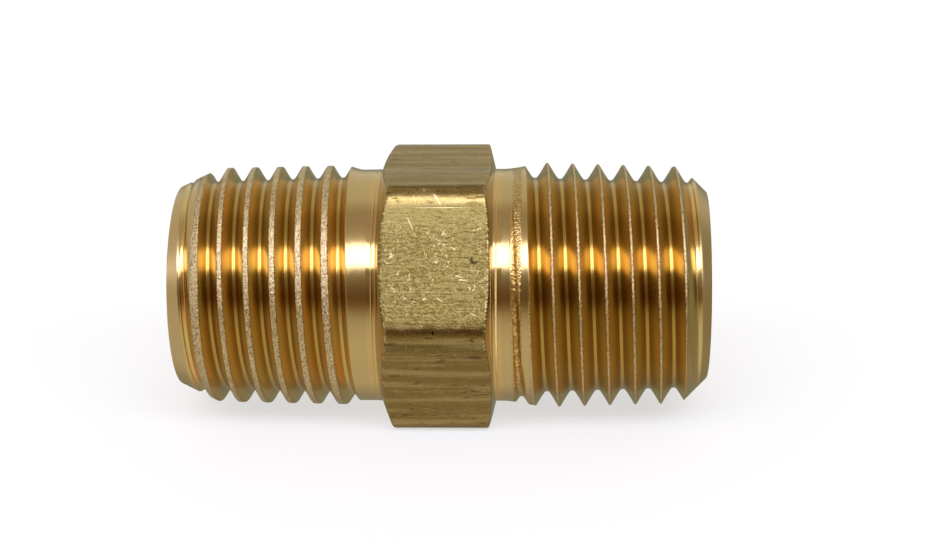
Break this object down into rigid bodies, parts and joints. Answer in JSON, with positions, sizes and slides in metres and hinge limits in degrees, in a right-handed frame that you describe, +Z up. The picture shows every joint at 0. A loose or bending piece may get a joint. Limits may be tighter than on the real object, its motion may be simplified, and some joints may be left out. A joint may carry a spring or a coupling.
{
  "type": "hex nipple",
  "caption": "Short brass pipe nipple that joins two female ports: hexagon wrench body between tapered male pipe threads, bored through.",
  "frame": {"origin": "on the nipple's axis, at mid length between the two end faces", "axes": "+X along the axis towards the longer threaded end, +Z up, square to the hexagon flat it lies on"},
  "size_m": [0.0294, 0.016, 0.0142],
  "materials": {
    "brass": "bright turned necks and threads, satin drawn hexagon flats with handling scratches"
  },
  "bodies": {
    "root": {"nipple_body": "brass"}
  },
  "joints": []
}
